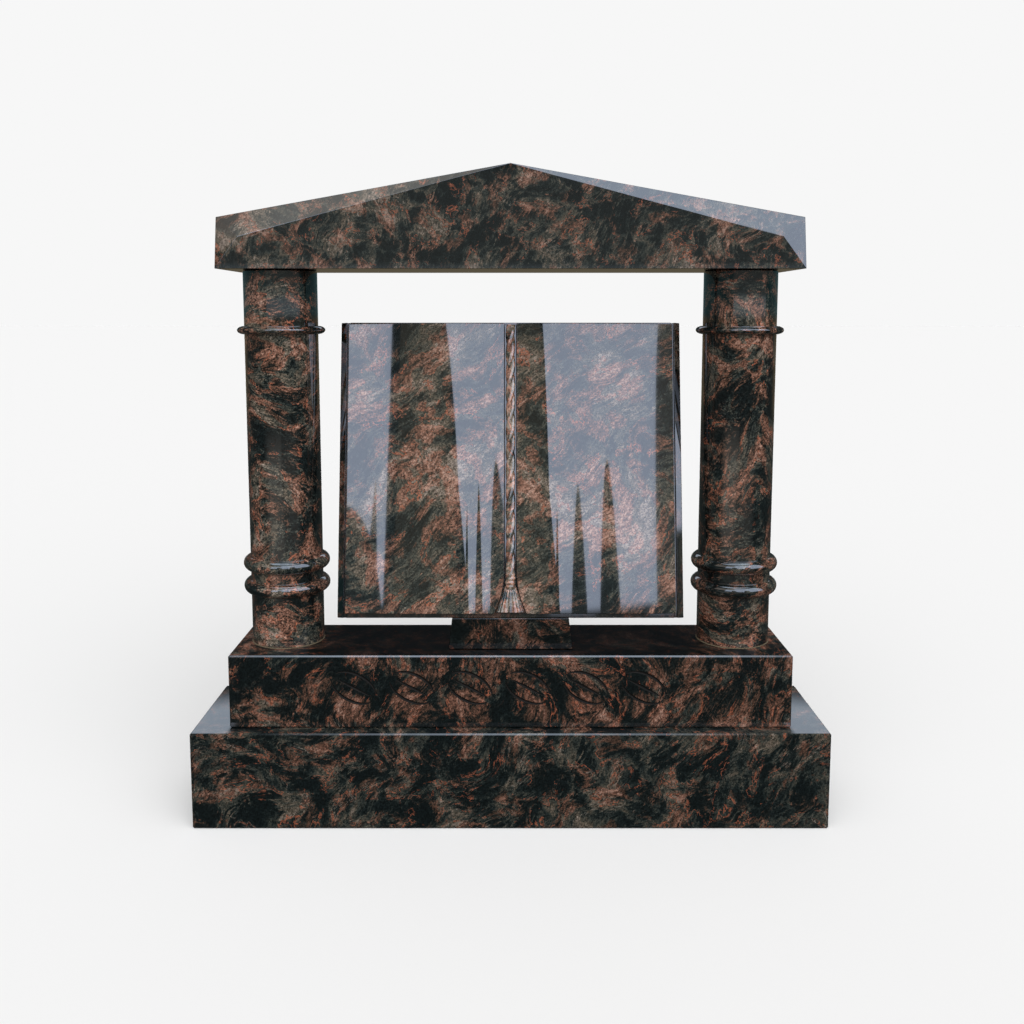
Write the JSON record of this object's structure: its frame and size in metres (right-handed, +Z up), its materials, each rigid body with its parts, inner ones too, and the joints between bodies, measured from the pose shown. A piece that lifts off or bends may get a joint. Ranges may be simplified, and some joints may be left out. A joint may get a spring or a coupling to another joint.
{
  "type": "headstone",
  "caption": "Polished granite headstone: an open book with a carved cord and tassel leans on a foot between ringed columns that carry a gabled pediment, on a plinth and base slab.",
  "frame": {"origin": "bottom centre of the base slab, where it is cut off flat at the ground", "axes": "+X to the right seen from the front, the front faces -Y, +Z up"},
  "size_m": [1.2, 0.252, 1.2345],
  "materials": {
    "granite": "polished black and red-brown swirled granite, glossy all over, with brighter chamfered edges"
  },
  "bodies": {
    "root": {"base": "granite", "plinth": "granite", "column_left": "granite", "column_right": "granite", "pediment": "granite", "book_foot": "granite", "book": "granite"}
  },
  "joints": []
}
